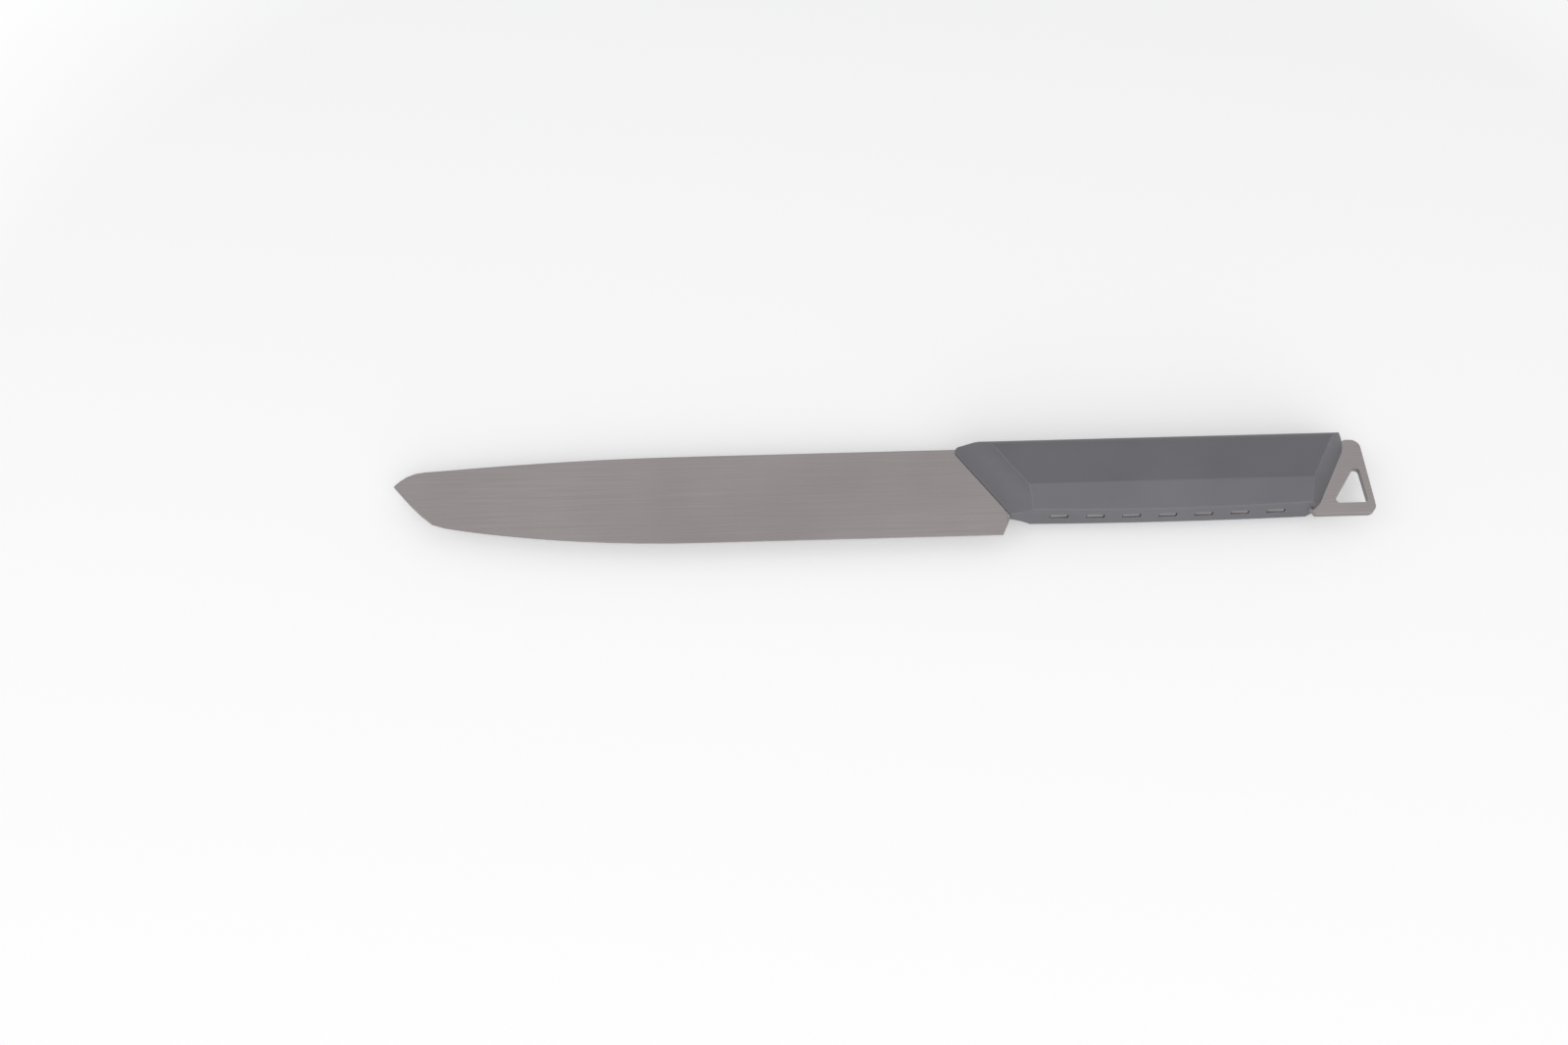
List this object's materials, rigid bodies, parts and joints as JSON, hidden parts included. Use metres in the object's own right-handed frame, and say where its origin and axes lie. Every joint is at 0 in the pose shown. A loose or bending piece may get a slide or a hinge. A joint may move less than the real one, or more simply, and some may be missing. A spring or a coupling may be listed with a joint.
{
  "type": "carving knife",
  "caption": "Long slim slicing knife: stamped steel blade with a full tang and hanging plate, faceted plastic handle moulded on.",
  "frame": {"origin": "centre of the knife's bounding box, at the level of the handle's lower flat side", "axes": "+X from the tip to the hanging plate, +Y from the cutting edge to the back, +Z out of the blade's side"},
  "size_m": [0.336, 0.0352, 0.017],
  "materials": {
    "steel": "fine ground stainless steel",
    "grip": "satin moulded plastic"
  },
  "bodies": {
    "root": {"blade": "steel", "handle": "grip"}
  },
  "joints": []
}
